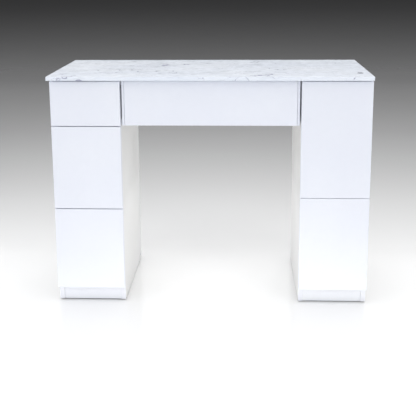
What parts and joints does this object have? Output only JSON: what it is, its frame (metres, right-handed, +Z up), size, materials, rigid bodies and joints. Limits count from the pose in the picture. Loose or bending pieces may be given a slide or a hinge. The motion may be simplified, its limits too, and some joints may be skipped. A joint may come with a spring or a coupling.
{
  "type": "manicure table",
  "caption": "Handle-less manicure table: stone top on two pedestals with drawers and a cupboard, a drawer over the knee space, and a cable hole in the top.",
  "frame": {"origin": "on the floor, under the middle of the stone top", "axes": "+X to the right as the drawer fronts are seen, +Y away from the drawer fronts, +Z up"},
  "size_m": [1.067, 0.508, 0.787],
  "materials": {
    "stone": "polished white quartz with fine grey-lilac veins",
    "lacquer": "satin white lacquer",
    "laminate": "white melamine-faced chipboard",
    "box_board": "white melamine-faced drawer boards",
    "hardboard": "white-faced hardboard",
    "zinc": "bright zinc plated steel",
    "black_plastic": "black moulded plastic",
    "grey_plastic": "grey moulded plastic",
    "silicone": "clear silicone pads"
  },
  "bodies": {
    "root": {"stone_top": "stone", "cable_grommet": "black_plastic", "top_pads": "silicone", "left_outer_side": "laminate", "left_inner_side": "laminate", "left_top_panel": "laminate", "right_outer_side": "laminate", "right_inner_side": "laminate", "right_top_panel": "laminate", "right_divider": "laminate", "right_shelf": "laminate", "shelf_pins": "zinc", "base_panels": "laminate", "back_panels": "laminate", "plinths": "lacquer", "glides": "black_plastic", "centre_cheeks": "lacquer", "centre_stretcher": "laminate", "rear_apron": "lacquer", "corner_brackets": "zinc", "centre_spacers": "laminate", "centre_screws": "zinc", "slide_cabinet_members": "zinc", "slide_screws": "zinc", "latch_housings": "grey_plastic", "hinge_arms": "zinc"},
    "left_top_drawer": {"left_top_front": "lacquer", "left_top_box": "box_board", "left_top_bottom": "hardboard", "left_top_runners": "zinc"},
    "left_top_drawer_slides": {"left_top_slide_middle": "zinc"},
    "left_middle_drawer": {"left_middle_front": "lacquer", "left_middle_box": "box_board", "left_middle_bottom": "hardboard", "left_middle_runners": "zinc"},
    "left_middle_drawer_slides": {"left_middle_slide_middle": "zinc"},
    "left_bottom_drawer": {"left_bottom_front": "lacquer", "left_bottom_box": "box_board", "left_bottom_bottom": "hardboard", "left_bottom_runners": "zinc"},
    "left_bottom_drawer_slides": {"left_bottom_slide_middle": "zinc"},
    "centre_drawer": {"centre_front": "lacquer", "centre_box": "box_board", "centre_bottom": "hardboard", "centre_runners": "zinc"},
    "centre_drawer_slides": {"centre_slide_middle": "zinc"},
    "right_drawer": {"right_drawer_front": "lacquer", "right_drawer_box": "box_board", "right_drawer_bottom": "hardboard", "right_drawer_runners": "zinc"},
    "right_drawer_slides": {"right_drawer_slide_middle": "zinc"},
    "right_door": {"right_door_panel": "lacquer", "hinge_cups": "zinc", "hinge_pins": "zinc"},
    "touch_latch_left_top": {"left_top_plunger": "grey_plastic"},
    "touch_latch_left_middle": {"left_middle_plunger": "grey_plastic"},
    "touch_latch_left_bottom": {"left_bottom_plunger": "grey_plastic"},
    "touch_latch_right_door": {"right_door_plunger": "grey_plastic"},
    "touch_latch_right_drawer": {"right_drawer_plunger": "grey_plastic"}
  },
  "joints": [
    {"name": "left_top_drawer", "type": "slide", "parent": "root", "child": "left_top_drawer", "axis": [0, -1, 0], "range_m": [0, 0.38]},
    {"name": "left_top_drawer_slides", "type": "slide", "parent": "root", "child": "left_top_drawer_slides", "axis": [0, -1, 0], "range_m": [0, 0.19]},
    {"name": "left_middle_drawer", "type": "slide", "parent": "root", "child": "left_middle_drawer", "axis": [0, -1, 0], "range_m": [0, 0.38]},
    {"name": "left_middle_drawer_slides", "type": "slide", "parent": "root", "child": "left_middle_drawer_slides", "axis": [0, -1, 0], "range_m": [0, 0.19]},
    {"name": "left_bottom_drawer", "type": "slide", "parent": "root", "child": "left_bottom_drawer", "axis": [0, -1, 0], "range_m": [0, 0.38]},
    {"name": "left_bottom_drawer_slides", "type": "slide", "parent": "root", "child": "left_bottom_drawer_slides", "axis": [0, -1, 0], "range_m": [0, 0.19]},
    {"name": "centre_drawer", "type": "slide", "parent": "root", "child": "centre_drawer", "axis": [0, -1, 0], "range_m": [0, 0.38]},
    {"name": "centre_drawer_slides", "type": "slide", "parent": "root", "child": "centre_drawer_slides", "axis": [0, -1, 0], "range_m": [0, 0.19]},
    {"name": "right_drawer", "type": "slide", "parent": "root", "child": "right_drawer", "axis": [0, -1, 0], "range_m": [0, 0.38]},
    {"name": "right_drawer_slides", "type": "slide", "parent": "root", "child": "right_drawer_slides", "axis": [0, -1, 0], "range_m": [0, 0.19]},
    {"name": "right_door", "type": "hinge", "parent": "root", "child": "right_door", "pos_m": [0.5252, -0.227, 0.575], "axis": [0, 0, 1], "range_deg": [0, 95]},
    {"name": "touch_latch_left_top", "type": "slide", "parent": "root", "child": "touch_latch_left_top", "axis": [0, 1, 0], "range_m": [0, 0.003], "stiffness_N_per_m": 1200, "springref_m": -0.002},
    {"name": "touch_latch_left_middle", "type": "slide", "parent": "root", "child": "touch_latch_left_middle", "axis": [0, 1, 0], "range_m": [0, 0.003], "stiffness_N_per_m": 1200, "springref_m": -0.002},
    {"name": "touch_latch_left_bottom", "type": "slide", "parent": "root", "child": "touch_latch_left_bottom", "axis": [0, 1, 0], "range_m": [0, 0.003], "stiffness_N_per_m": 1200, "springref_m": -0.002},
    {"name": "touch_latch_right_door", "type": "slide", "parent": "root", "child": "touch_latch_right_door", "axis": [0, 1, 0], "range_m": [0, 0.003], "stiffness_N_per_m": 1200, "springref_m": -0.002},
    {"name": "touch_latch_right_drawer", "type": "slide", "parent": "root", "child": "touch_latch_right_drawer", "axis": [0, 1, 0], "range_m": [0, 0.003], "stiffness_N_per_m": 1200, "springref_m": -0.002}
  ],
  "couplings": [
    {"joint": "left_top_drawer_slides", "follows": "left_top_drawer", "ratio": 0.5},
    {"joint": "left_middle_drawer_slides", "follows": "left_middle_drawer", "ratio": 0.5},
    {"joint": "left_bottom_drawer_slides", "follows": "left_bottom_drawer", "ratio": 0.5},
    {"joint": "centre_drawer_slides", "follows": "centre_drawer", "ratio": 0.5},
    {"joint": "right_drawer_slides", "follows": "right_drawer", "ratio": 0.5}
  ]
}
